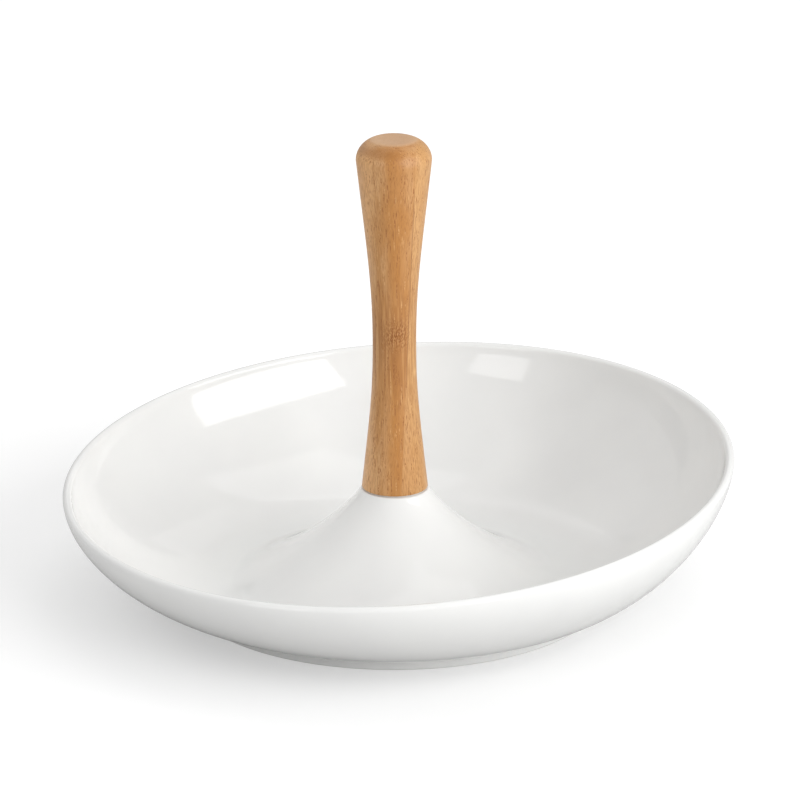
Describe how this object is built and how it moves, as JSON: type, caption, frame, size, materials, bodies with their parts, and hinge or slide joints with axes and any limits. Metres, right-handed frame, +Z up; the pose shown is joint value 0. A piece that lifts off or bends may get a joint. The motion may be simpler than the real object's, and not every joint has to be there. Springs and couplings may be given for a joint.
{
  "type": "chip and dip server",
  "caption": "Shallow round porcelain serving bowl with a sloping rim and a central hollow hump that carries a waisted bamboo handle clamped by a screw from below.",
  "frame": {"origin": "on the handle's axis at the plane of the table, under the foot ring", "axes": "+Z up along the handle's axis; the rim is highest towards +X +Y and lowest towards -X -Y"},
  "size_m": [0.305, 0.305, 0.2151],
  "materials": {
    "porcelain": "glossy white glaze",
    "bamboo": "turned laminated bamboo, thin satin lacquer",
    "silicone": "matt translucent silicone",
    "brass": "turned brass",
    "stainless": "plain stainless steel"
  },
  "bodies": {
    "dish": {"bowl": "porcelain", "handle_gasket": "silicone", "soft_washer": "silicone", "steel_washer": "stainless", "spring_washer": "stainless"},
    "grip": {"handle": "bamboo", "threaded_insert": "brass"},
    "screw": {"clamp_screw": "stainless"}
  },
  "joints": [
    {"name": "screw_turn", "type": "hinge", "parent": "dish", "child": "screw", "pos_m": [0, 0, 0.0394], "axis": [0, 0, -1], "range_deg": [0, 4320]},
    {"name": "handle_rise", "type": "slide", "parent": "dish", "child": "grip", "axis": [0, 0, 1], "range_m": [0, 0.012]}
  ],
  "couplings": [
    {"joint": "screw_turn", "follows": "handle_rise", "rad_per_m": 6283.2}
  ]
}
